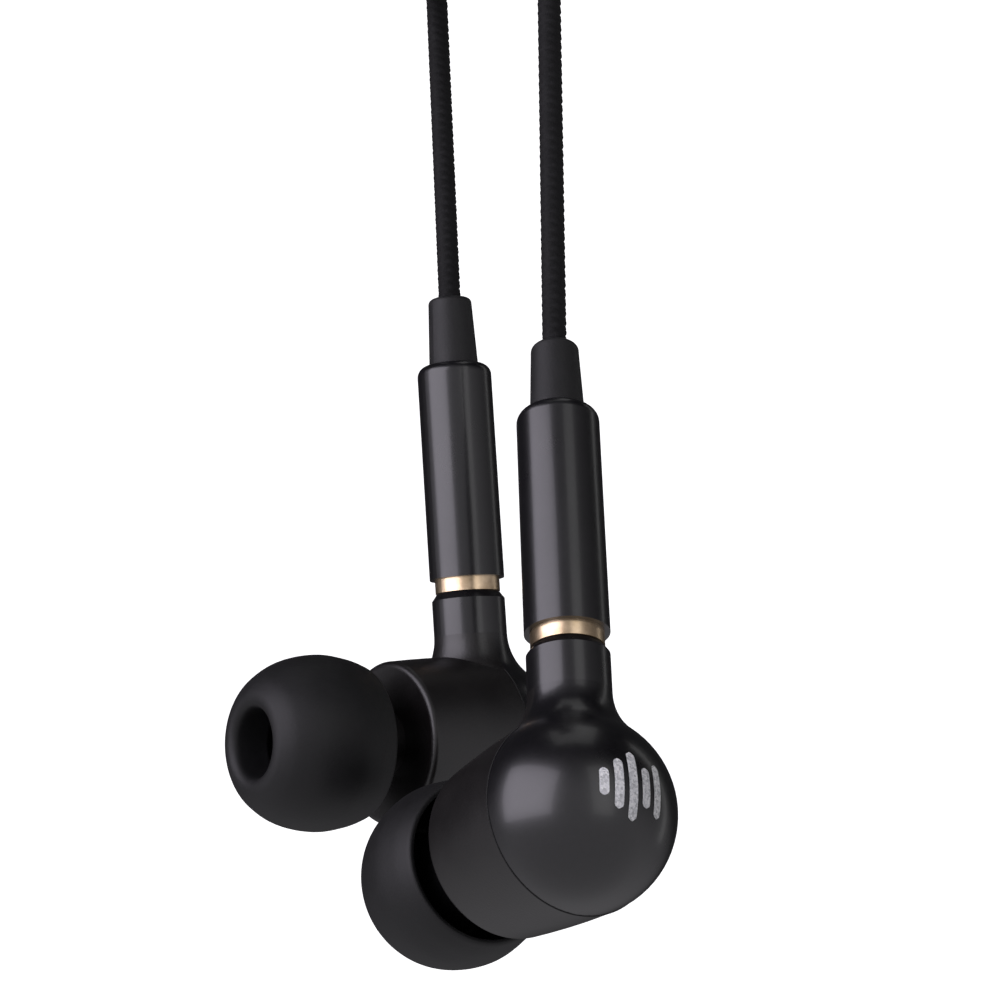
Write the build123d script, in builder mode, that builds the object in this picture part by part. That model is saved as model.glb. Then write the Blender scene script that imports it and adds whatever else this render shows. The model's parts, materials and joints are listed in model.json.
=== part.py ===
from build123d import *
import math
import os

os.makedirs("parts", exist_ok=True)

# Wired in-ear earphones, hung up by their coiled cord. The origin is the top of the
# coil's eye, where a peg carries it; the two earpieces hang below on their own cords.

# ---------------------------------------------------------------- driving dimensions
CORD_D = 1.7                # braided cord
COIL_RADIUS = 8.98          # middle of the turns
COIL_SECTION = 4.65         # radius of the bundle of turns
COIL_HEADING = 119.1        # compass direction of the coil's own plane, from +X
CORD_OFFSET = 4.3           # ear cords leave beside the bundle, not through it
RIGHT_DROP = 52.3           # origin down to the right strain relief's mouth
LEFT_DROP = 42.6
RIGHT_SWAY = 0.37           # each cord's lower end, to the right of plumb
LEFT_SWAY = 1.76
RIGHT_FACING = 121.6        # compass direction of each nozzle, from +X
LEFT_FACING = 217.8
RIGHT_LEAN = (-1.6, 10.3)   # degrees each stem's top leans to the right, and away
LEFT_LEAN = (-3.7, -8.9)
NOZZLE_RISE = 1.5           # nozzle above square to the stem

BALL_R = 6.2
WALL = 0.8
SEAM = 0.1                  # seam plane, past the middle of the ball
NECK_R = 2.65
FLARE_R = 4.0
COLLAR_TOP = 10.9           # heights above the ball's centre, along the stem
RING_R = 2.35
RING_TOP = 11.9
BARREL_R = 2.72
BARREL_TOP = 27.7
BARREL_SHOULDER = 0.8
MOUTH = 32.7                # strain relief's mouth, where the earpiece swings
RELIEF_BASE_R = 1.8
RELIEF_TOP_R = 1.6
DISH_R = 1.25               # room for the cord as the earpiece swings

HOUSING_END = 8.0           # distances from the ball's centre, along the nozzle
HOUSING_END_R = 5.74
NOZZLE_R = 2.3
BARB_R = 2.6
NOZZLE_BORE_R = 1.8
NOZZLE_END = 15.5
TIP_BORE_R = 2.65
TIP_RIM = 10.7
TIP_RIM_R = 5.35
TIP_CENTRE = 14.05
TIP_R = 6.06
TIP_MOUTH_R = 2.35

DRIVER_R = 4.7
DRIVER_BACK = 2.3
DRIVER_FRONT = 6.9

PLUG_PIN_R = 1.75
PLUG_PIN = 14.0
PLUG_BARREL_R = 2.6
PLUG_BARREL = 15.0
PLUG_RELIEF = 9.0
SIDE_W = -7.5               # plug and splitter lie on this side of the coil
SPLITTER = 13.0

BELOW_BOOT = -3.0           # lower ends of the plug's relief and the splitter
TIE_HALF = 2.6
TIE_THICKNESS = 0.8


def write(piece, node):
    """Label a finished piece and write it as its own STEP."""
    piece.part.label = node
    export_step(piece.part, f"parts/{node}.step")


# ---------------------------------------------------------------- the hanging layout
UP = Vector(0, 0, 1)
coil_u = Vector(math.cos(math.radians(COIL_HEADING)), math.sin(math.radians(COIL_HEADING)), 0)
coil_w = coil_u.cross(UP)
coil_centre = Vector(0, 0, COIL_SECTION - COIL_RADIUS)
coil_plane = Plane(origin=coil_centre, x_dir=coil_u, z_dir=coil_w * -1)


def at(u, v, w):
    """A point beside the coil: along its plane, up, and square to it."""
    return coil_centre + coil_u * u + UP * v + coil_w * w


def level_plane(v, u=0.0, w=0.0):
    """A horizontal plane at height v beside the coil, its x along the coil's plane."""
    return Plane(origin=at(u, v, w), x_dir=coil_u, z_dir=UP)


def hang_point(u, drop, sway):
    """Where a cord that leaves the coil at u ends, this far below the origin."""
    spot = at(u, 0, CORD_OFFSET)
    return Vector(spot.X + sway, spot.Y, -drop)


# ---------------------------------------------------------------- small shared makers
def turned(plane, axis, outline):
    """A turned piece from the corners of its half profile."""
    with BuildPart() as piece:
        with BuildSketch(plane):
            with BuildLine():
                Polyline(*outline, close=True)
            make_face()
        revolve(axis=axis)
    return piece


def box_outline(x0, x1, y0, y1):
    """Corners of a plain rectangular half profile."""
    return [(x0, y0), (x1, y0), (x1, y1), (x0, y1)]


def cord_tube(node, points, diameter):
    """A tube of straight runs joined by arcs, each as large as its two runs allow."""
    radii = []
    for before, corner, after in zip(points, points[1:], points[2:]):
        turn = math.radians((corner - before).get_angle(after - corner))
        shorter = min((corner - before).length, (after - corner).length)
        radii.append(0.45 * shorter / math.tan(turn / 2))
    print(node, "radii in diameters:", [round(r / diameter, 1) for r in radii])
    with BuildPart() as tube:
        with BuildLine() as path:
            FilletPolyline(*points, radius=radii)
        with BuildSketch(Plane(origin=path.line @ 0, z_dir=path.line % 0)):
            Circle(diameter / 2)
        sweep()
    plain_volume = math.pi * diameter**2 / 4 * path.wires()[0].length
    print(node, "volume over section x length:", round(tube.part.volume / plain_volume, 3))
    return tube


# ---------------------------------------------------------------- one earpiece
def neck_and_ball(plane, axis):
    """The ball with its flared neck, as one turned solid about the stem."""
    flare_x = NECK_R + FLARE_R
    flare_h = math.sqrt((BALL_R + FLARE_R) ** 2 - flare_x**2)
    start = math.atan2(-flare_h, -flare_x)
    middle = (start - math.pi) / 2
    foot = (flare_x + FLARE_R * math.cos(start), flare_h + FLARE_R * math.sin(start))
    inside = (flare_x + FLARE_R * math.cos(middle), flare_h + FLARE_R * math.sin(middle))
    with BuildPart() as solid:
        with BuildSketch(plane):
            with BuildLine():
                ThreePointArc((0, -BALL_R), (BALL_R, 0), foot)
                ThreePointArc(foot, inside, (NECK_R, flare_h))
                Polyline((NECK_R, flare_h), (NECK_R, COLLAR_TOP - 0.55), (NECK_R - 0.4, COLLAR_TOP),
                         (1.9, COLLAR_TOP), (1.9, COLLAR_TOP + 3), (0, COLLAR_TOP + 3), (0, -BALL_R))
            make_face()
        revolve(axis=axis)
    return solid, flare_h


def front_zone(flare_h):
    """Outline, in the stem's plane, of what the front shell takes from ball and flare."""
    slope = math.tan(math.radians(NOZZLE_RISE))
    seam = SEAM / math.cos(math.radians(NOZZLE_RISE))
    bottom = -2 * BALL_R
    far = 3 * BALL_R
    return [(seam - flare_h * slope, flare_h), (seam - bottom * slope, bottom), (far, bottom), (far, flare_h)]


def cavity(plane, axis):
    """The hollow that the two shells share, with the sound bore through the nozzle."""
    inner = BALL_R - WALL
    front = HOUSING_END - WALL
    with BuildPart() as hollow:
        with BuildSketch(plane):
            with BuildLine():
                ThreePointArc((-inner, 0), (-inner * math.sqrt(0.5), inner * math.sqrt(0.5)), (0, inner))
                Polyline((0, inner), (front, HOUSING_END_R - WALL), (front, NOZZLE_BORE_R),
                         (NOZZLE_END + 1, NOZZLE_BORE_R), (NOZZLE_END + 1, 0), (-inner, 0))
            make_face()
        revolve(axis=axis)
    return hollow


def make_shells(side, stem_plane, stem_axis, nozzle_plane, nozzle_axis):
    """Glossy rear shell with dome and neck, and satin front shell with the nozzle."""
    solid, flare_h = neck_and_ball(stem_plane, stem_axis)
    hollow = cavity(nozzle_plane, nozzle_axis)
    bore = turned(stem_plane, stem_axis, box_outline(0, 1.2, BALL_R - 2 * WALL, COLLAR_TOP + 4))
    zone = front_zone(flare_h)

    with BuildPart() as rear_shell:
        add(solid.part)
        with BuildSketch(stem_plane):
            Polygon(*zone, align=None)
        extrude(amount=2 * BALL_R, both=True, mode=Mode.SUBTRACT)
        add(hollow.part, mode=Mode.SUBTRACT)
        add(bore.part, mode=Mode.SUBTRACT)
    write(rear_shell, f"{side}_rear_shell")

    with BuildPart() as front_shell:
        add(solid.part)
        with BuildSketch(stem_plane):
            Polygon(*zone, align=None)
        extrude(amount=2 * BALL_R, both=True, mode=Mode.INTERSECT)
        with BuildSketch(nozzle_plane):
            with BuildLine():
                edge = 0.45
                seam_r = BALL_R + 0.02
                Spline((SEAM, seam_r), (HOUSING_END / 2, (BALL_R + HOUSING_END_R) / 2 + 0.08),
                       (HOUSING_END - edge, HOUSING_END_R))
                ThreePointArc((HOUSING_END - edge, HOUSING_END_R),
                              (HOUSING_END - 0.3 * edge, HOUSING_END_R - 0.3 * edge),
                              (HOUSING_END, HOUSING_END_R - edge))
                Polyline((HOUSING_END, HOUSING_END_R - edge), (HOUSING_END, NOZZLE_R),
                         (13.2, NOZZLE_R), (13.5, BARB_R), (14.4, BARB_R), (NOZZLE_END, NOZZLE_R),
                         (NOZZLE_END, 0), (SEAM, 0), (SEAM, seam_r))
            make_face()
        revolve(axis=nozzle_axis)
        add(hollow.part, mode=Mode.SUBTRACT)
        add(bore.part, mode=Mode.SUBTRACT)
    write(front_shell, f"{side}_front_shell")


def make_driver(side, plane, axis):
    """The dynamic driver, its terminal board and the damping felt in the nozzle."""
    back = DRIVER_BACK
    front = DRIVER_FRONT
    ring_back = back + 0.45
    frame = [(back + 0.3, DRIVER_R), (front, DRIVER_R), (front, DRIVER_R - 0.3), (ring_back + 0.3, DRIVER_R - 0.3),
             (ring_back + 0.3, 3.7), (back + 0.3, 3.7)]
    write(turned(plane, axis, frame), f"{side}_driver_frame")
    yoke = [(back, 0), (back, 3.7), (4.9, 3.7), (4.9, 3.35), (ring_back, 3.35), (ring_back, 0)]
    write(turned(plane, axis, yoke), f"{side}_driver_yoke")
    write(turned(plane, axis, box_outline(ring_back, 4.35, 0, 2.6)), f"{side}_driver_magnet")
    write(turned(plane, axis, box_outline(4.35, 4.9, 0, 2.75)), f"{side}_driver_top_plate")
    write(turned(plane, axis, box_outline(3.4, 5.6, 2.87, 3.12)), f"{side}_voice_coil")

    film = 0.12
    dome_top = 6.3
    dome_edge = (5.6, 2.87)
    dome_centre = (dome_top**2 - dome_edge[0] ** 2 - dome_edge[1] ** 2) / (2 * (dome_top - dome_edge[0]))
    dome_side = dome_centre + math.sqrt((dome_top - dome_centre) ** 2 - 1.5**2)
    with BuildPart() as diaphragm:
        with BuildSketch(plane):
            with BuildLine():
                Line((dome_top, 0), (dome_top + film, 0))
                ThreePointArc((dome_top + film, 0), (dome_side + film, 1.5), (5.6 + film, 2.87))
                Line((5.6 + film, 2.87), (5.6 + film, 3.12))
                ThreePointArc((5.6 + film, 3.12), (6.0 + film, 3.75), (5.6 + film, 4.38))
                Line((5.6 + film, 4.38), (5.6, 4.38))
                ThreePointArc((5.6, 4.38), (6.0, 3.75), (5.6, 3.12))
                Line((5.6, 3.12), (5.6, 2.87))
                ThreePointArc(dome_edge, (dome_side, 1.5), (dome_top, 0))
            make_face()
        revolve(axis=axis)
    write(diaphragm, f"{side}_diaphragm")

    def station(t):
        return Plane(origin=axis.position + axis.direction * t, x_dir=plane.z_dir, z_dir=axis.direction)

    with BuildPart() as cover:
        with BuildSketch(station(front)):
            Circle(DRIVER_R)
            Circle(0.7, mode=Mode.SUBTRACT)
            with PolarLocations(2.7, 6):
                Circle(0.55, mode=Mode.SUBTRACT)
        extrude(amount=0.2)
    write(cover, f"{side}_driver_cover")

    with BuildPart() as board:
        with BuildSketch(station(back - 0.6)):
            Circle(2.3)
            with Locations((0, -2.2)):
                Rectangle(5, 1.4, mode=Mode.SUBTRACT)
        extrude(amount=0.6)
    write(board, f"{side}_terminal_board")

    with BuildPart() as mesh:
        with BuildSketch(station(NOZZLE_END - 0.4)):
            Circle(NOZZLE_BORE_R)
            for ring_r, count in ((0.55, 6), (1.15, 12)):
                with PolarLocations(ring_r, count):
                    Circle(0.17, mode=Mode.SUBTRACT)
        extrude(amount=0.2)
    write(mesh, f"{side}_nozzle_mesh")
    write(turned(plane, axis, box_outline(9.0, 9.8, 0, NOZZLE_BORE_R)), f"{side}_damping_felt")


def make_ear_tip(side, plane, axis):
    """The soft tip: a sleeve on the nozzle, turned back into a domed skirt."""
    with BuildPart() as tip:
        with BuildSketch(plane):
            with BuildLine():
                lip = (TIP_CENTRE + 5.1, 3.27)
                Polyline((TIP_RIM - 0.3, TIP_BORE_R), (16.2, TIP_BORE_R), (16.2, TIP_MOUTH_R),
                         (18.75, TIP_MOUTH_R))
                ThreePointArc((18.75, TIP_MOUTH_R), (19.1, 2.65), lip)
                ThreePointArc(lip, (TIP_CENTRE + 3.9, 4.7), (TIP_CENTRE, TIP_R))
                ThreePointArc((TIP_CENTRE, TIP_R), (TIP_CENTRE - 1.6, 5.86), (TIP_RIM, TIP_RIM_R))
                Line((TIP_RIM, TIP_RIM_R), (TIP_RIM + 0.1, TIP_RIM_R - 0.4))
                ThreePointArc((TIP_RIM + 0.1, TIP_RIM_R - 0.4), (TIP_CENTRE + 0.2, TIP_R - 0.55), (17.3, 4.1))
                Polyline((17.3, 4.1), (17.6, 3.35), (TIP_RIM - 0.3, 3.25), (TIP_RIM - 0.3, TIP_BORE_R))
            make_face()
        revolve(axis=axis)
    write(tip, f"{side}_ear_tip")


def make_stem(side, plane, axis):
    """Brass ring, glossy barrel, rubber strain relief, knotted cord end and leads."""
    write(turned(plane, axis, box_outline(1.92, RING_R, COLLAR_TOP, RING_TOP)), f"{side}_brass_ring")

    with BuildPart() as barrel:
        with BuildSketch(plane):
            with BuildLine():
                shoulder_r = BARREL_R - BARREL_SHOULDER
                shoulder_h = BARREL_TOP - BARREL_SHOULDER
                Polyline((shoulder_r, BARREL_TOP), (1.45, BARREL_TOP), (1.45, 26.2), (2.0, 26.2),
                         (2.0, RING_TOP), (BARREL_R, RING_TOP), (BARREL_R, shoulder_h))
                RadiusArc((BARREL_R, shoulder_h), (shoulder_r, BARREL_TOP), -BARREL_SHOULDER)
            make_face()
        revolve(axis=axis)
    write(barrel, f"{side}_stem_barrel")

    with BuildPart() as relief:
        with BuildSketch(plane):
            with BuildLine():
                dish_floor = MOUTH - math.sqrt(DISH_R**2 - 0.9**2)
                dish_side = DISH_R * math.sqrt(0.5)
                Polyline((0.9, dish_floor), (0.9, 25.2), (1.95, 25.2), (1.95, 26.2), (1.42, 26.2),
                         (1.42, BARREL_TOP), (RELIEF_BASE_R, BARREL_TOP), (RELIEF_TOP_R, MOUTH - 0.35))
                ThreePointArc((RELIEF_TOP_R, MOUTH - 0.35), (RELIEF_TOP_R - 0.1, MOUTH - 0.1),
                              (RELIEF_TOP_R - 0.25, MOUTH))
                Line((RELIEF_TOP_R - 0.25, MOUTH), (DISH_R, MOUTH))
                ThreePointArc((DISH_R, MOUTH), (1.13, MOUTH - math.sqrt(DISH_R**2 - 1.13**2)),
                              (0.9, dish_floor))
            make_face()
        revolve(axis=axis)
    write(relief, f"{side}_strain_relief")

    knot_h = 23.6
    with BuildPart() as knot:
        with BuildSketch(plane):
            with BuildLine():
                ThreePointArc((0, knot_h - 1.5), (1.5, knot_h), (CORD_D / 2, knot_h + math.sqrt(1.5**2 - 0.85**2)))
                Polyline((CORD_D / 2, knot_h + math.sqrt(1.5**2 - 0.85**2)), (CORD_D / 2, MOUTH - 1.3),
                         (0, MOUTH - 1.3), (0, knot_h - 1.5))
            make_face()
        revolve(axis=axis)
    write(knot, f"{side}_cord_knot")

    route = [plane.from_local_coords(Vector(x, y, 0))
             for x, y in ((0, knot_h - 1.5), (0, 6.5), (-0.9, 3.2), (1.5, 1.2))]
    write(cord_tube(f"{side}_inner_leads", route, 0.6), f"{side}_inner_leads")


def make_earpiece(side, mouth, facing, lean):
    """Everything that swings on one cord, and the frame its joints need."""
    heading = Vector(math.cos(math.radians(facing)), math.sin(math.radians(facing)), 0)
    rise = math.radians(NOZZLE_RISE)
    stem = Vector(math.tan(math.radians(lean[0])), math.tan(math.radians(lean[1])), 1).normalized()
    level = (heading - stem * heading.dot(stem)).normalized()
    nozzle = level * math.cos(rise) + stem * math.sin(rise)
    ball = mouth - stem * MOUTH
    across = level.cross(stem)
    stem_plane = Plane(origin=ball, x_dir=level, z_dir=across)
    nozzle_plane = Plane(origin=ball, x_dir=nozzle, z_dir=across)
    stem_axis = Axis(ball, stem)
    nozzle_axis = Axis(ball, nozzle)
    make_shells(side, stem_plane, stem_axis, nozzle_plane, nozzle_axis)
    make_driver(side, nozzle_plane, nozzle_axis)
    make_ear_tip(side, nozzle_plane, nozzle_axis)
    make_stem(side, stem_plane, stem_axis)
    print(side, "mouth", *mouth, "ball", *ball, "nozzle", *nozzle)


# ---------------------------------------------------------------- cords and coil
def make_hanging_cord(node, mouth, top):
    """A cord pulled straight by its earpiece, from the coil down to the mouth."""
    run = top - mouth
    with BuildPart() as cord:
        with BuildSketch(Plane(origin=mouth, z_dir=run)):
            Circle(CORD_D / 2)
        extrude(amount=run.length)
    write(cord, node)


def make_coil():
    """The outer shape of all the turns that are put away."""
    with BuildPart() as coil:
        with BuildSketch(level_plane(0)):
            with Locations((COIL_RADIUS, 0)):
                Circle(COIL_SECTION)
        revolve(axis=Axis(coil_centre, coil_w))
    write(coil, "cord_coil")


def strap_outline(u, piece_r, grow):
    """The taut outline round the bundle's section and a piece beside it."""
    with BuildSketch() as outline:
        with Locations((u, 0)):
            Circle(COIL_SECTION + 0.55 + grow)
        with Locations((u, -SIDE_W)):
            Circle(piece_r + 0.1 + grow)
        make_hull()
    return outline.sketch


def make_tie(node, u, piece_r):
    """A soft strap round the bundle and the piece that lies against it."""
    outside = strap_outline(u, piece_r, TIE_THICKNESS)
    inside = strap_outline(u, piece_r, 0)
    with BuildPart() as tie:
        with BuildSketch(level_plane(-TIE_HALF)):
            add(outside)
            add(inside, mode=Mode.SUBTRACT)
        extrude(amount=2 * TIE_HALF)
    write(tie, node)


def make_plug():
    """A 3.5 mm three-pole plug with its barrel and strain relief, pin upward."""
    axis = Axis(at(COIL_RADIUS, 0, SIDE_W), UP)
    plane = Plane(origin=at(COIL_RADIUS, BELOW_BOOT, SIDE_W), x_dir=coil_u, z_dir=coil_w)
    relief_top = PLUG_RELIEF
    barrel_top = relief_top + PLUG_BARREL
    relief = [(0, 0), (1.3, 0), (1.9, relief_top), (1.2, relief_top), (1.2, relief_top + 3),
              (0, relief_top + 3)]
    write(turned(plane, axis, relief), "plug_strain_relief")

    with BuildPart() as barrel:
        with BuildSketch(plane):
            with BuildLine():
                Polyline((1.2, relief_top), (PLUG_BARREL_R - 0.4, relief_top), (PLUG_BARREL_R, relief_top + 0.4),
                         (PLUG_BARREL_R, barrel_top - 1.0), (PLUG_BARREL_R - 0.5, barrel_top), (1.0, barrel_top),
                         (1.0, relief_top + 5), (1.2, relief_top + 5), (1.2, relief_top))
            make_face()
        revolve(axis=axis)
    write(barrel, "plug_barrel")

    tip_start = barrel_top + 11.2
    sleeve = [(0.7, barrel_top - 4), (1.0, barrel_top - 4), (1.0, barrel_top), (PLUG_PIN_R, barrel_top),
              (PLUG_PIN_R, barrel_top + 7.7), (0.7, barrel_top + 7.7)]
    write(turned(plane, axis, sleeve), "plug_sleeve")
    write(turned(plane, axis, box_outline(0.7, PLUG_PIN_R, barrel_top + 8.3, barrel_top + 10.6)), "plug_ring")
    with BuildPart() as insulators:
        with BuildSketch(plane):
            for low in (7.7, 10.6):
                with Locations(((0.7 + PLUG_PIN_R) / 2, barrel_top + low + 0.3)):
                    Rectangle(PLUG_PIN_R - 0.7, 0.6)
        revolve(axis=axis)
    write(insulators, "plug_insulators")
    end = barrel_top + PLUG_PIN
    with BuildPart() as tip:
        with BuildSketch(plane):
            with BuildLine():
                Polyline((0, barrel_top - 3), (0.65, barrel_top - 3), (0.65, tip_start), (PLUG_PIN_R, tip_start),
                         (PLUG_PIN_R, tip_start + 0.3), (1.15, tip_start + 0.9), (1.62, tip_start + 1.5))
                ThreePointArc((1.62, tip_start + 1.5), (1.2, end - 0.45), (0.35, end))
                Polyline((0.35, end), (0, end), (0, barrel_top - 3))
            make_face()
        revolve(axis=axis)
    write(tip, "plug_tip")
    print("plug_pin starts", *plane.from_local_coords(Vector(0, barrel_top, 0)))


def make_splitter():
    """The joint where the main cord becomes two ear cords, with a boot at each end."""
    low = 3.0
    half_gap = 1.05
    with BuildPart() as body:
        with BuildSketch(level_plane(BELOW_BOOT + low, -COIL_RADIUS, SIDE_W)):
            SlotOverall(5.6, 4.4)
        extrude(amount=SPLITTER - 4)
        fillet(body.edges().group_by(Axis.Z)[-1], 0.5)
    write(body, "splitter_body")
    with BuildPart() as ear_boot:
        with BuildSketch(level_plane(BELOW_BOOT, -COIL_RADIUS, SIDE_W)):
            SlotOverall(4.5, 2.4)
        with BuildSketch(level_plane(BELOW_BOOT + low, -COIL_RADIUS, SIDE_W)):
            SlotOverall(5.2, 3.4)
        loft()
    write(ear_boot, "splitter_ear_boot")
    with BuildPart() as main_boot:
        with BuildSketch(level_plane(BELOW_BOOT + low + SPLITTER - 4, -COIL_RADIUS, SIDE_W)):
            Circle(1.7)
        with BuildSketch(level_plane(BELOW_BOOT + low + SPLITTER - 1, -COIL_RADIUS, SIDE_W)):
            Circle(1.3)
        loft()
    write(main_boot, "splitter_main_boot")

    right_u = -COIL_RADIUS - half_gap
    left_u = -COIL_RADIUS + half_gap
    route = [at(right_u, BELOW_BOOT, SIDE_W), at(right_u, -10.5, SIDE_W), at(-6.5, -14.3, -5.1), at(-0.6, -12.4, -1.6)]
    write(cord_tube("right_cord_tail", route, CORD_D), "right_cord_tail")
    route = [at(left_u, BELOW_BOOT, SIDE_W), at(left_u, -9.3, SIDE_W), at(-4.4, -13.1, -5.1), at(1.0, -11.6, -1.4)]
    write(cord_tube("left_cord_tail", route, CORD_D), "left_cord_tail")
    top = BELOW_BOOT + low + SPLITTER - 1
    route = [at(-COIL_RADIUS, top, SIDE_W), at(-COIL_RADIUS, top + 6, SIDE_W), at(-5, top + 10.5, -5.2),
             at(2, top + 8, -3.2), at(7.5, top - 1, -1.5)]
    write(cord_tube("main_cord_start", route, CORD_D), "main_cord_start")
    route = [at(COIL_RADIUS, BELOW_BOOT, SIDE_W), at(COIL_RADIUS, -10.3, SIDE_W), at(5.45, -14.1, -5.1),
             at(0.4, -13.6, -1.0)]
    write(cord_tube("main_cord_end", route, CORD_D), "main_cord_end")


right_mouth = hang_point(-COIL_RADIUS, RIGHT_DROP, RIGHT_SWAY)
left_mouth = hang_point(COIL_RADIUS, LEFT_DROP, LEFT_SWAY)
make_earpiece("right", right_mouth, RIGHT_FACING, RIGHT_LEAN)
make_earpiece("left", left_mouth, LEFT_FACING, LEFT_LEAN)
make_hanging_cord("right_cord", right_mouth, at(-COIL_RADIUS, 0, CORD_OFFSET))
make_hanging_cord("left_cord", left_mouth, at(COIL_RADIUS, 0, CORD_OFFSET))
make_coil()
make_plug()
make_splitter()
make_tie("plug_tie", COIL_RADIUS, 1.9)
make_tie("splitter_tie", -COIL_RADIUS, 2.8)
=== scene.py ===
import json
import math
import bmesh
import bpy
import numpy as np
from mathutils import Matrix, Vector


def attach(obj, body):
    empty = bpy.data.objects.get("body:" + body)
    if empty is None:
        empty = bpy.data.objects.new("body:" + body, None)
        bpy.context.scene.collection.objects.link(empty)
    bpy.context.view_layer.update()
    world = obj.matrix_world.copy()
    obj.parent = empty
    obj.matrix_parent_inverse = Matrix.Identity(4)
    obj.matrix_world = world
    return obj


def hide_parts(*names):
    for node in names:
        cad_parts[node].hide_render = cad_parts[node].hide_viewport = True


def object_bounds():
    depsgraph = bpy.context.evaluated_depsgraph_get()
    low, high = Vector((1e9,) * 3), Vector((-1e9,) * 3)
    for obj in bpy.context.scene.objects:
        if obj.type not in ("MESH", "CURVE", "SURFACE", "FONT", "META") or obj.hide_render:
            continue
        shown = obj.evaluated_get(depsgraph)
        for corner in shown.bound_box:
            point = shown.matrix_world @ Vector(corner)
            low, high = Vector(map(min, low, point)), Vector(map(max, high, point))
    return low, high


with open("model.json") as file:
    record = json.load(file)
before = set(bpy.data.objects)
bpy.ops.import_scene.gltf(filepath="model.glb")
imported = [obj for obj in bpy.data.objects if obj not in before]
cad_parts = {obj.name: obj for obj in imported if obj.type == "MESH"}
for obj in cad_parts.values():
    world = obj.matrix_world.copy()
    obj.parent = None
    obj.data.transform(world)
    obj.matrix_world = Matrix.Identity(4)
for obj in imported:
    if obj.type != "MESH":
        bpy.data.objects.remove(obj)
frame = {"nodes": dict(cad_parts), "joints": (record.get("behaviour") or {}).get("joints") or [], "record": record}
cad_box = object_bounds()
MM = 0.001
UP = Vector((0, 0, 1))

# ------------------------------------------------------------- the layout, as in the CAD (mm)
CORD_D = 1.7
COIL_RADIUS = 8.98
COIL_SECTION = 4.65
COIL_HEADING = math.radians(119.1)
CORD_OFFSET = 4.3
MOUTH = 32.7
BALL_R = 6.2
SEAM = 0.1
LEAN = {"right": (-1.6, 10.3), "left": (-3.7, -8.9)}
coil_u = Vector((math.cos(COIL_HEADING), math.sin(COIL_HEADING), 0))
coil_w = coil_u.cross(UP)
coil_centre = Vector((0, 0, COIL_SECTION - COIL_RADIUS))


def at(u, v, w):
    """A point beside the coil, in millimetres: along its plane, up, and square to it."""
    return coil_centre + coil_u * u + UP * v + coil_w * w


def joint(name):
    """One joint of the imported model."""
    return next(j for j in frame["joints"] if j["name"] == name)


class Ear:
    """Where one earpiece hangs: its mouth and ball in mm, and its stem's and nozzle's directions."""

    def __init__(self, side):
        self.side = side
        self.body = side + "_earpiece"
        self.tip_body = side + "_tip"
        self.mouth = Vector(joint(side + "_swing")["pos_m"]) / MM
        self.nozzle = Vector(joint(side + "_tip_pull")["axis"]).normalized()
        heading = Vector((self.nozzle.x, self.nozzle.y, 0)).normalized()
        right, away = (math.tan(math.radians(angle)) for angle in LEAN[side])
        self.stem = Vector((right, away, 1)).normalized()
        level = (heading - self.stem * heading.dot(self.stem)).normalized()
        self.across = level.cross(self.stem)
        self.ball = self.mouth - self.stem * MOUTH


ears = {side: Ear(side) for side in ("right", "left")}

# ------------------------------------------------------------- camera
CAMERA_PLACE = Vector((4.87, -155.34, -108.61))
CAMERA_RISE = math.radians(17.0)
CAMERA_LENS = 86.4


def make_camera():
    data = bpy.data.cameras.new("camera")
    data.lens = CAMERA_LENS
    data.sensor_width = 36
    data.clip_start = 0.01
    data.clip_end = 10
    camera = bpy.data.objects.new("camera", data)
    bpy.context.scene.collection.objects.link(camera)
    camera.location = CAMERA_PLACE * MM
    camera.rotation_euler = (math.pi / 2 + CAMERA_RISE, 0, 0)
    bpy.context.scene.camera = camera


make_camera()


# ------------------------------------------------------------- node material helpers
class Mat:
    """A material under construction: nodes by type, sockets by name."""

    def __init__(self, name):
        self.mat = bpy.data.materials.new(name)
        self.mat.use_nodes = True
        self.tree = self.mat.node_tree
        self.bsdf = self.tree.nodes["Principled BSDF"]

    def node(self, kind, **values):
        made = self.tree.nodes.new(kind)
        for key, value in values.items():
            if key in made.inputs:
                made.inputs[key].default_value = value
            else:
                setattr(made, key, value)
        return made

    def link(self, a, b):
        self.tree.links.new(a, b)

    def coords(self):
        return self.node("ShaderNodeTexCoord").outputs["Object"]

    def noise(self, scale, detail=3.0, rough=0.5, vector=None):
        made = self.node("ShaderNodeTexNoise", Scale=scale, Detail=detail, Roughness=rough)
        self.link(vector or self.coords(), made.inputs["Vector"])
        return made.outputs["Fac"]

    def ramp(self, fac, stops):
        made = self.node("ShaderNodeValToRGB")
        elements = made.color_ramp.elements
        while len(elements) < len(stops):
            elements.new(0.5)
        for element, (place, colour) in zip(elements, stops):
            element.position = place
            element.color = colour if len(colour) == 4 else (*colour, 1)
        self.link(fac, made.inputs["Fac"])
        return made.outputs["Color"]

    def math(self, operation, a, b=None, c=None):
        made = self.node("ShaderNodeMath", operation=operation)
        for socket, value in zip(made.inputs, (a, b, c)):
            if value is None:
                continue
            if isinstance(value, (int, float)):
                socket.default_value = value
            else:
                self.link(value, socket)
        return made.outputs[0]

    def span(self, fac, low, high):
        made = self.node("ShaderNodeMapRange")
        made.inputs["To Min"].default_value = low
        made.inputs["To Max"].default_value = high
        self.link(fac, made.inputs["Value"])
        return made.outputs[0]

    def bump(self, height, distance, strength=1.0):
        made = self.node("ShaderNodeBump", Distance=distance, Strength=strength)
        self.link(height, made.inputs["Height"])
        self.link(made.outputs["Normal"], self.bsdf.inputs["Normal"])

    def set(self, **values):
        for key, value in values.items():
            self.bsdf.inputs[key.replace("_", " ")].default_value = value


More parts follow.
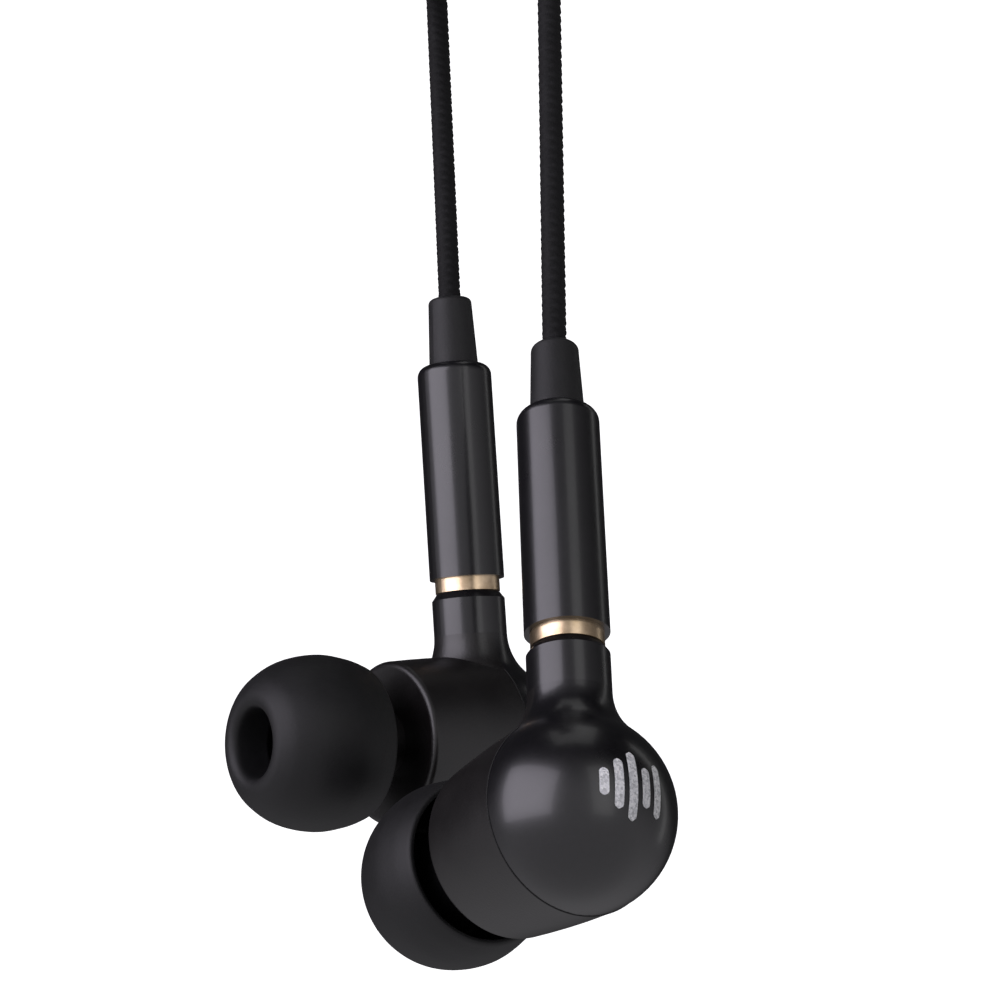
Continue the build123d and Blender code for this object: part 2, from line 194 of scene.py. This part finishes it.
def gloss_black():
    """Black lacquer, polished but not a mirror, with the faintest waviness and smears."""
    m = Mat("piano_black")
    smear = m.noise(260, 4, 0.6)
    m.link(m.span(smear, 0.24, 0.34), m.bsdf.inputs["Roughness"])
    fine = m.noise(2600, 2)
    m.link(m.ramp(fine, [(0.3, (0.0022, 0.002, 0.003)), (0.8, (0.0045, 0.004, 0.0055))]),
           m.bsdf.inputs["Base Color"])
    m.set(Coat_Weight=0.12, Coat_Roughness=0.08)
    m.bump(m.noise(420, 2), 0.00001, 0.2)
    return m.mat


def satin_black():
    """Moulded satin plastic with a fine spark-eroded grain."""
    m = Mat("satin_black")
    grain = m.noise(5200, 3, 0.6)
    patch = m.noise(330, 3)
    m.link(m.ramp(patch, [(0.3, (0.0035, 0.0028, 0.003)), (0.75, (0.007, 0.006, 0.006))]),
           m.bsdf.inputs["Base Color"])
    m.link(m.span(patch, 0.3, 0.42), m.bsdf.inputs["Roughness"])
    m.bump(grain, 0.00003, 0.3)
    return m.mat


def silicone():
    """Soft matte silicone with a dusty bloom."""
    m = Mat("silicone")
    bloom = m.noise(520, 5, 0.65)
    m.link(m.ramp(bloom, [(0.3, (0.0026, 0.0026, 0.003)), (0.75, (0.0055, 0.0055, 0.006))]),
           m.bsdf.inputs["Base Color"])
    m.link(m.span(bloom, 0.5, 0.62), m.bsdf.inputs["Roughness"])
    m.set(Specular_IOR_Level=0.3)
    m.bump(m.noise(3800, 3), 0.00003, 0.3)
    return m.mat


def rubber():
    """Strain-relief rubber, rougher than the silicone."""
    m = Mat("relief_rubber")
    bloom = m.noise(900, 4, 0.6)
    m.link(m.ramp(bloom, [(0.3, (0.0035, 0.0035, 0.004)), (0.75, (0.008, 0.008, 0.0085))]),
           m.bsdf.inputs["Base Color"])
    m.link(m.span(bloom, 0.5, 0.66), m.bsdf.inputs["Roughness"])
    m.set(Specular_IOR_Level=0.35)
    m.bump(m.noise(5200, 3), 0.00004, 0.4)
    return m.mat


def metal(name, colour, dark, rough, scale=900):
    """Plated metal with fine turning marks and a slight tarnish."""
    m = Mat(name)
    mark = m.noise(scale, 4, 0.6)
    m.link(m.ramp(mark, [(0.3, dark), (0.7, colour)]), m.bsdf.inputs["Base Color"])
    m.link(m.span(mark, rough * 0.8, rough * 1.3), m.bsdf.inputs["Roughness"])
    m.set(Metallic=1.0)
    m.bump(m.noise(scale * 3, 2), 0.00001, 0.2)
    return m.mat


def plain_detail(name, dark, light, rough, scale=900, sheen=0.0, bump=0.00003):
    """A dull material whose colour and roughness drift over the surface."""
    m = Mat(name)
    drift = m.noise(scale, 4, 0.6)
    m.link(m.ramp(drift, [(0.3, dark), (0.75, light)]), m.bsdf.inputs["Base Color"])
    m.link(m.span(drift, rough * 0.85, rough * 1.15), m.bsdf.inputs["Roughness"])
    m.set(Sheen_Weight=sheen)
    m.bump(m.noise(scale * 4, 3), bump, 0.4)
    return m.mat


def yarn():
    """One braid strand: fine fibres along it."""
    m = Mat("braid_yarn")
    fibre = m.noise(9000, 3, 0.6)
    soft = m.noise(700, 3)
    m.link(m.ramp(fibre, [(0.25, (0.0012, 0.0012, 0.0014)), (0.8, (0.006, 0.0058, 0.0065))]),
           m.bsdf.inputs["Base Color"])
    m.link(m.span(soft, 0.62, 0.8), m.bsdf.inputs["Roughness"])
    m.set(Specular_IOR_Level=0.2)
    m.bump(fibre, 0.00005, 0.6)
    return m.mat


def silver_print():
    """Printed silver with coarse glitter flakes, each at its own tilt and brightness."""
    m = Mat("silver_print")
    cells = m.node("ShaderNodeTexVoronoi", Scale=7500.0)
    m.link(m.coords(), cells.inputs["Vector"])
    shade = m.math("FRACT", m.math("MULTIPLY", cells.outputs["Color"], 3.7))
    m.link(m.ramp(shade, [(0.0, (0.55, 0.56, 0.57)), (0.5, (0.82, 0.83, 0.85)), (1.0, (1.0, 1.0, 1.0))]),
           m.bsdf.inputs["Base Color"])
    m.link(m.span(shade, 0.35, 0.6), m.bsdf.inputs["Roughness"])
    m.set(Metallic=0.1)
    m.bump(cells.outputs["Distance"], 0.00004, 0.5)
    return m.mat


mats = {
    "gloss_shell": gloss_black(),
    "satin_shell": satin_black(),
    "silicone": silicone(),
    "rubber": rubber(),
    "brass": metal("polished_brass", (0.74, 0.58, 0.40), (0.46, 0.34, 0.21), 0.3),
    "cord": yarn(),
    "strap": plain_detail("hook_and_loop", (0.008, 0.008, 0.009), (0.03, 0.03, 0.032), 0.85, 2400, 0.4, 0.0002),
    "gold": metal("gold_plate", (0.95, 0.76, 0.42), (0.78, 0.56, 0.26), 0.14),
    "insulator": plain_detail("insulator", (0.01, 0.01, 0.01), (0.03, 0.03, 0.03), 0.4),
    "driver_plastic": plain_detail("driver_plastic", (0.02, 0.02, 0.02), (0.05, 0.05, 0.05), 0.5),
    "plated_steel": metal("plated_steel", (0.7, 0.7, 0.71), (0.45, 0.45, 0.46), 0.3),
    "magnet": metal("magnet_nickel", (0.62, 0.62, 0.63), (0.4, 0.4, 0.41), 0.25),
    "copper": metal("enamelled_copper", (0.78, 0.38, 0.2), (0.5, 0.2, 0.1), 0.35),
    "film": plain_detail("film", (0.5, 0.46, 0.34), (0.75, 0.72, 0.6), 0.25),
    "circuit_board": plain_detail("circuit_board", (0.02, 0.12, 0.04), (0.05, 0.2, 0.09), 0.4),
    "steel_mesh": metal("steel_mesh", (0.42, 0.42, 0.44), (0.16, 0.16, 0.17), 0.4, 2200),
    "felt": plain_detail("felt", (0.28, 0.28, 0.27), (0.55, 0.55, 0.52), 0.95, 2600, 0.4, 0.0002),
}

slot_of = {row["node"]: row["material_slot"] for row in frame["record"]["subparts"]}


def paint(piece, slot_name, smooth=True):
    """Give a piece the one finished material named by this slot name."""
    piece.data.materials.clear()
    piece.data.materials.append(mats[slot_name])
    if smooth and piece.type == "MESH":
        for face in piece.data.polygons:
            face.use_smooth = True
    return piece


for node_name, node in frame["nodes"].items():
    node.data.materials.clear()
    node.data.materials.append(mats[slot_of[node_name]])


# ------------------------------------------------------------- mesh helpers
def new_mesh(name, vertices, faces):
    mesh = bpy.data.meshes.new(name)
    mesh.from_pydata(vertices, [], faces)
    mesh.validate()
    made = bpy.data.objects.new(name, mesh)
    bpy.context.scene.collection.objects.link(made)
    return made


def curve_points(profile, smooth_steps=8):
    """Open smooth line through a half profile's corners: each entry is (along, radius, sharp)."""
    line = []
    count = len(profile)
    for i in range(count - 1):
        a, b = Vector(profile[i][:2]), Vector(profile[i + 1][:2])
        before = Vector(profile[i - 1][:2]) if i > 0 and not profile[i][2] else a - (b - a)
        after = Vector(profile[i + 2][:2]) if i + 2 < count and not profile[i + 1][2] else b + (b - a)
        length = (b - a).length
        start_slope = (b - before).normalized() * length if not profile[i][2] else (b - a)
        end_slope = (after - a).normalized() * length if not profile[i + 1][2] else (b - a)
        for step in range(smooth_steps):
            t = step / smooth_steps
            h00, h10 = 2 * t**3 - 3 * t**2 + 1, t**3 - 2 * t**2 + t
            h01, h11 = 3 * t**2 - 2 * t**3, t**3 - t**2
            line.append(a * h00 + start_slope * h10 + b * h01 + end_slope * h11)
    line.append(Vector(profile[-1][:2]))
    return line


def lathe(name, origin, axis, side, line, segments=96):
    """A turned mesh: line holds (distance along axis, radius) in mm, closed if its ends meet."""
    other = axis.cross(side)
    closed = (line[0] - line[-1]).length < 1e-6
    ring = line[:-1] if closed else line
    vertices = []
    for along, radius in ring:
        for k in range(segments):
            angle = 2 * math.pi * k / segments
            spot = origin + axis * along + (side * math.cos(angle) + other * math.sin(angle)) * radius
            vertices.append(spot * MM)
    faces = []
    rows = len(ring)
    for r in range(rows if closed else rows - 1):
        for k in range(segments):
            a, b = r * segments + k, r * segments + (k + 1) % segments
            c, d = ((r + 1) % rows) * segments + (k + 1) % segments, ((r + 1) % rows) * segments + k
            faces.append((a, b, c, d))
    made = new_mesh(name, vertices, faces)
    bm = bmesh.new()
    bm.from_mesh(made.data)
    bmesh.ops.remove_doubles(bm, verts=bm.verts, dist=1e-7)
    bmesh.ops.recalc_face_normals(bm, faces=bm.faces)
    bm.to_mesh(made.data)
    bm.free()
    return made


# ------------------------------------------------------------- the cord's route (mm)
TURN_POINTS = 24            # control points in each turn of the coil
ROW_STEP = 1.42             # the turns lie in staggered rows, a little pressed together
PLACE_STEP = 1.65
PLACE_LIMIT = 4.35
HAIRPIN_R = 4.2             # where the cord doubles back on the bundle's side
HAIRPIN_W = -4.5
RIGHT_TAIL = [(-0.6, -12.4, -1.6), (-6.5, -14.3, -5.1), (-10.7, -10.5, -7.5), (-10.7, -3, -7.5)]
LEFT_TAIL = [(1.0, -11.6, -1.4), (-4.4, -13.1, -5.1), (-8.6, -9.3, -7.5), (-8.6, -3, -7.5)]
MAIN_START = [(-9.65, 12, -7.5), (-9.65, 18, -7.5), (-5, 22.5, -5.2), (2, 20, -3.2), (7.5, 11, -1.5)]
MAIN_TAIL = [(0.4, -13.6, -1.0), (5.45, -14.1, -5.1), (9.65, -10.3, -7.5), (9.65, -3, -7.5)]


def bundle_places():
    """Where turns can sit in the bundle's round section: (out from its middle, across)."""
    places = []
    for row in range(6):
        for k in range(-3, 4):
            place = ((row - 2.5) * ROW_STEP, (k + 0.5 * (row % 2 == 0)) * PLACE_STEP)
            if math.hypot(*place) < PLACE_LIMIT:
                places.append(place)
    return places


free_places = bundle_places()


def take_places(start, count):
    """The free places one after another, each the nearest to the one before."""
    taken = []
    here = start
    for _ in range(count):
        here = min(free_places, key=lambda place: math.dist(place, here))
        free_places.remove(here)
        taken.append(here)
    return taken


def ease(a, b, t):
    t = min(max(t, 0), 1)
    t = t * t * (3 - 2 * t)
    return a[0] + (b[0] - a[0]) * t, a[1] + (b[1] - a[1]) * t


def around(angle, out, across):
    """A point of the bundle at this angle about the coil's middle."""
    radius = COIL_RADIUS + out
    return at(radius * math.cos(angle), radius * math.sin(angle), across)


def wound(begin, end, first, last):
    """The turns from one angle to another, in degrees, shifting to a new place each time round."""
    total = abs(end - begin) / 360
    way = math.copysign(1, end - begin)
    taken = take_places(first, math.ceil(total))
    points = []
    for step in range(round(total * TURN_POINTS) + 1):
        gone = min(step / TURN_POINTS, total)
        turn = min(int(gone), len(taken) - 1)
        before = taken[turn - 1] if turn else first
        place = ease(before, taken[turn], (gone - turn) / 0.3)
        place = ease(place, last, 1 - (total - gone) / 0.3)
        points.append(around(math.radians(begin + way * 360 * gone), *place))
    return points


def hairpin(angle, way):
    """The cord doubles back outward, from the bundle's inner edge to its outer edge."""
    radial = Vector((math.cos(angle), math.sin(angle)))
    along = Vector((-math.sin(angle), math.cos(angle))) * way
    points = []
    for k in range(6):
        beta = math.pi * (1 - k / 5)
        spot = radial * (COIL_RADIUS + HAIRPIN_R * math.cos(beta)) + along * HAIRPIN_R * math.sin(beta)
        points.append(at(spot.x, spot.y, HAIRPIN_W))
    return points


def back_round(begin, end, last):
    """Back along the bundle's outer edge, from the hairpin to where the tail leaves."""
    points = []
    for k in range(1, 4):
        place = ease((HAIRPIN_R, HAIRPIN_W), last, k / 4)
        points.append(around(math.radians(begin + (end - begin) * k / 4), *place))
    return points


def beside(points):
    return [at(*point) for point in points]


def hanging(ear, u):
    """Straight up from the strain relief to just below the coil."""
    top = at(u, 0, CORD_OFFSET)
    return [ear.mouth, ear.mouth.lerp(top, 0.78)]


INNER = (-HAIRPIN_R, HAIRPIN_W)
right_route = hanging(ears["right"], -COIL_RADIUS) + wound(180, -80 - 6 * 360, (0, CORD_OFFSET), (3.4, -1.6))
right_route += beside(RIGHT_TAIL)
left_route = hanging(ears["left"], COIL_RADIUS) + wound(0, 6 * 360 - 30, (0, CORD_OFFSET), INNER)
left_route += hairpin(0, 1) + back_round(0, -84, (2.7, -1.4)) + beside(LEFT_TAIL)
main_route = beside(MAIN_START) + wound(40, 230 - 13 * 360, (4.3, -1.5), INNER)
main_route += hairpin(math.radians(200), -1) + back_round(200, 267, (4.6, -1.0)) + beside(MAIN_TAIL)


# ------------------------------------------------------------- braided cords
BRAID_PITCH = 0.68          # mm between crossings along the cord
BRAID_CARRIERS = 4          # strands each way round
BRAID_DEPTH = 0.13
CORD_SEGMENTS = 26
FINE_RUN = 62               # mm from the exit that is meshed finely
FINE_STEP = 0.1
COARSE_STEP = 0.2


def smooth_line(name, route):
    """The points of the route's own smooth line, in millimetres."""
    data = bpy.data.curves.new(name + "_route", "CURVE")
    data.dimensions = "3D"
    data.resolution_u = 6
    spline = data.splines.new("NURBS")
    spline.points.add(len(route) - 1)
    for point, spot in zip(spline.points, route):
        point.co = (*(spot * MM), 1)
    spline.order_u = 3
    spline.use_endpoint_u = True
    holder = bpy.data.objects.new(name + "_route", data)
    bpy.context.scene.collection.objects.link(holder)
    mesh = bpy.data.meshes.new_from_object(holder)
    line = np.array([vertex.co[:] for vertex in mesh.vertices]) / MM
    bpy.data.meshes.remove(mesh)
    bpy.data.objects.remove(holder)
    return line


def braid_height(angle, along):
    """How far the strands stand out: two families of helices, over one and under one."""
    a = BRAID_CARRIERS * angle / (2 * math.pi) + along / BRAID_PITCH
    b = BRAID_CARRIERS * angle / (2 * math.pi) - along / BRAID_PITCH
    over = (np.floor(a) + np.floor(b)) % 2 == 0
    across_a = np.abs(np.sin(math.pi * a))
    across_b = np.abs(np.sin(math.pi * b))
    upper = across_a**0.6 * (0.45 + 0.55 * across_b)
    lower = across_b**0.6 * (0.45 + 0.55 * across_a)
    return np.where(over, upper, lower)


def braided(name, route, fine_run):
    """A braided tube along the route's smooth line, with its ends closed."""
    line = smooth_line(name, route)
    gone = np.concatenate([[0], np.cumsum(np.linalg.norm(np.diff(line, axis=0), axis=1))])
    length = gone[-1]
    fine = np.arange(0, fine_run, FINE_STEP)
    coarse = np.arange(fine_run, length, COARSE_STEP)
    stations = np.concatenate([fine, coarse, [length]])
    middle = np.stack([np.interp(stations, gone, line[:, i]) for i in range(3)], axis=1)
    ahead = np.gradient(middle, stations, axis=0)
    ahead /= np.linalg.norm(ahead, axis=1)[:, None]
    side = np.empty_like(middle)
    side[0] = np.cross(ahead[0], (0.3, 0.9, 0.1))
    for i in range(1, len(middle)):
        side[i] = side[i - 1] - ahead[i] * np.dot(side[i - 1], ahead[i])
        side[i] /= np.linalg.norm(side[i])
    side[0] /= np.linalg.norm(side[0])
    other = np.cross(ahead, side)
    angle = np.arange(CORD_SEGMENTS) * 2 * math.pi / CORD_SEGMENTS
    height = braid_height(angle[None, :], stations[:, None])
    radius = (CORD_D / 2 - BRAID_DEPTH * (1 - height))[:, :, None]
    cosine, sine = np.cos(angle)[None, :, None], np.sin(angle)[None, :, None]
    ring = side[:, None, :] * cosine + other[:, None, :] * sine
    vertices = ((middle[:, None, :] + ring * radius) * MM).reshape(-1, 3)
    rows = np.arange(len(middle) - 1)[:, None] * CORD_SEGMENTS
    k = np.arange(CORD_SEGMENTS)[None, :]
    n = (k + 1) % CORD_SEGMENTS
    corners = [rows + k, rows + n, rows + CORD_SEGMENTS + n, rows + CORD_SEGMENTS + k]
    faces = np.stack(corners, axis=2).reshape(-1, 4)
    last = (len(middle) - 1) * CORD_SEGMENTS
    caps = [list(range(CORD_SEGMENTS))[::-1], list(range(last, last + CORD_SEGMENTS))]
    made = new_mesh(name, vertices.tolist(), faces.tolist() + caps)
    return made, (line * MM).tolist(), length * MM


def make_cord(name, route, fine_run, nodes):
    cord, path, measured = braided(name, route, fine_run)
    print(name, "length", round(measured, 4))
    paint(cord, "cord")
    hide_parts(*nodes)
    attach(cord, "hung_cord")


def make_cords():
    make_cord("right_braided_cord", right_route, FINE_RUN, ["right_cord", "right_cord_tail"])
    make_cord("left_braided_cord", left_route, FINE_RUN, ["left_cord", "left_cord_tail"])
    make_cord("main_braided_cord", main_route, 0,
              ["cord_coil", "main_cord_start", "main_cord_end"])


make_cords()


# ------------------------------------------------------------- soft ear tips
TIP_PROFILE = [
    (10.45, 2.68, True), (16.1, 2.66, True), (16.35, 2.38, False), (18.4, 2.37, False),
    (18.87, 2.5, False), (19.12, 2.95, False), (18.95, 3.65, False), (18.1, 4.66, False),
    (16.4, 5.62, False), (14.1, 6.05, False), (12.2, 5.84, False), (11.0, 5.48, False),
    (10.72, 5.28, False), (10.8, 5.02, False), (12.0, 5.25, False), (14.1, 5.48, False),
    (15.9, 4.98, False), (17.1, 4.0, False), (17.0, 3.4, False), (15.2, 3.24, False),
    (10.7, 3.24, False), (10.45, 3.1, True), (10.45, 2.68, True),
]


def make_ear_tip(ear):
    line = curve_points(TIP_PROFILE, 6)
    tip = lathe(ear.side + "_silicone_tip", ear.ball, ear.nozzle, ear.across, line)
    paint(tip, "silicone")
    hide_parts(ear.side + "_ear_tip")
    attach(tip, ear.tip_body)


for one in ears.values():
    make_ear_tip(one)


# ------------------------------------------------------------- seam and printed mark on the dome
BAR_WIDTH = 0.6
BAR_GAP = 0.95
BAR_HEIGHTS = (1.7, 3.1, 4.3, 2.5, 3.4)


def make_seam(ear):
    """The fine dark line where the two shells meet."""
    line = []
    for k in range(9):
        angle = 2 * math.pi * k / 8
        line.append(Vector((SEAM + 0.05 * math.cos(angle), BALL_R + 0.012 + 0.035 * math.sin(angle))))
    line[-1] = line[0].copy()
    seam = lathe(ear.side + "_shell_seam", ear.ball, ear.nozzle, ear.across, line, 128)
    seam.data.materials.append(seam_shadow)
    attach(seam, ear.body)


def make_mark(ear):
    """A generic print of five rounded bars, like a level meter, laid on the dome."""
    back = -ear.nozzle
    up = (ear.stem - back * ear.stem.dot(back)).normalized()
    right = up.cross(back)

    def place(x, y):
        radius = max(math.hypot(x, y), 1e-6)
        swing = radius / BALL_R
        out = (right * x + up * y) * (math.sin(swing) / radius) + back * math.cos(swing)
        return (ear.ball + out * (BALL_R + 0.02)) * MM

    vertices, faces = [], []
    columns = 5
    for index, height in enumerate(BAR_HEIGHTS):
        middle = (index - 2) * BAR_GAP
        rows = 24
        start = len(vertices)
        for row in range(rows + 1):
            y = height * (row / rows - 0.5)
            from_end = BAR_WIDTH / 2 - (height / 2 - abs(y))
            half = BAR_WIDTH / 2
            if from_end > 0:
                half = math.sqrt(max(half**2 - from_end**2, 0.0025))
            for column in range(columns):
                vertices.append(place(middle + half * (column / (columns - 1) * 2 - 1), y))
        for row in range(rows):
            for column in range(columns - 1):
                a = start + row * columns + column
                faces.append((a, a + 1, a + columns + 1, a + columns))
    mark = new_mesh(ear.side + "_dome_print", vertices, faces)
    mark.data.materials.append(silver)
    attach(mark, ear.body)


silver = silver_print()
seam_shadow = plain_detail("seam_shadow", (0.001, 0.001, 0.001), (0.002, 0.002, 0.002), 0.9)
for one in ears.values():
    make_seam(one)
    make_mark(one)


# ------------------------------------------------------------- stage and light (m)
STAGE_SIZE = 2.2
STAGE_BEND_Y = 0.5          # where the paper starts to rise behind the earphones
STAGE_BEND_R = 0.4
STAGE_STEPS = 16
FLOOR_BELOW = 0.06
LIT_MIDDLE = (0, 0, -0.075)


def make_stage():
    """White paper that lies below and rises behind, and isn't mirrored in the gloss."""
    m = Mat("paper")
    cloudy = m.ramp(m.noise(30, 3), [(0.3, (0.93, 0.93, 0.93)), (0.7, (0.97, 0.97, 0.97))])
    m.link(cloudy, m.bsdf.inputs["Base Color"])
    m.set(Roughness=0.9, Emission_Color=(1, 1, 1, 1), Emission_Strength=1.0)
    floor_z = cad_box[0].z - FLOOR_BELOW
    profile = [(-STAGE_SIZE, floor_z), (STAGE_BEND_Y, floor_z)]
    for i in range(1, STAGE_STEPS + 1):
        angle = math.pi / 2 * i / STAGE_STEPS
        profile.append((STAGE_BEND_Y + STAGE_BEND_R * math.sin(angle),
                        floor_z + STAGE_BEND_R - STAGE_BEND_R * math.cos(angle)))
    profile.append((STAGE_BEND_Y + STAGE_BEND_R, floor_z + STAGE_SIZE))
    vertices = [(x, y, z) for y, z in profile for x in (-STAGE_SIZE, STAGE_SIZE)]
    faces = [(2 * i, 2 * i + 1, 2 * i + 3, 2 * i + 2) for i in range(len(profile) - 1)]
    sweep = new_mesh("studio_sweep", vertices, faces)
    sweep.data.materials.append(m.mat)
    for face in sweep.data.polygons:
        face.use_smooth = True
    sweep.visible_glossy = False
    sweep.visible_diffuse = False


def area_light(name, place, target, size_x, size_y, power, colour=(1, 1, 1)):
    data = bpy.data.lights.new(name, "AREA")
    data.shape = "RECTANGLE"
    data.size = size_x
    data.size_y = size_y
    data.energy = power
    data.color = colour
    light = bpy.data.objects.new(name, data)
    bpy.context.scene.collection.objects.link(light)
    light.location = place
    light.rotation_euler = (Vector(target) - Vector(place)).to_track_quat("-Z", "Y").to_euler()


def make_world():
    """A dim room: in reflections it is bright low in front, and dark above and behind."""
    world = bpy.data.worlds.new("studio")
    bpy.context.scene.world = world
    world.use_nodes = True
    tree = world.node_tree
    path = tree.nodes.new("ShaderNodeLightPath")
    direction = tree.nodes.new("ShaderNodeTexCoord")
    toward = tree.nodes.new("ShaderNodeVectorMath")
    toward.operation = "DOT_PRODUCT"
    toward.inputs[1].default_value = (0, -0.6, -0.8)
    tree.links.new(direction.outputs["Generated"], toward.inputs[0])
    room = tree.nodes.new("ShaderNodeMapRange")
    for socket, value in (("From Min", -0.5), ("From Max", 0.35), ("To Min", 0.03), ("To Max", 0.78)):
        room.inputs[socket].default_value = value
    tree.links.new(toward.outputs["Value"], room.inputs["Value"])
    strength = tree.nodes.new("ShaderNodeMapRange")
    strength.inputs["To Min"].default_value = 0.12
    tree.links.new(path.outputs["Is Glossy Ray"], strength.inputs["Value"])
    tree.links.new(room.outputs[0], strength.inputs["To Max"])
    background = tree.nodes["Background"]
    background.inputs["Color"].default_value = (0.97, 0.95, 1.0, 1)
    tree.links.new(strength.outputs[0], background.inputs["Strength"])


def make_lights():
    """One large soft light at the left, and faint ones at the right and above."""
    area_light("soft_left", (-0.40, -0.27, 0.07), LIT_MIDDLE, 0.62, 0.5, 3.5, (0.93, 0.88, 1.0))
    area_light("dim_right", (0.24, -0.42, 0.07), LIT_MIDDLE, 0.22, 0.5, 0.35)
    area_light("rim_right", (0.36, 0.16, 0.05), LIT_MIDDLE, 0.06, 0.5, 0.08)
    area_light("top", (0.0, 0.0, 0.45), LIT_MIDDLE, 0.3, 0.3, 0.2)


make_stage()
make_world()
make_lights()
bpy.context.scene.view_settings.view_transform = "Standard"
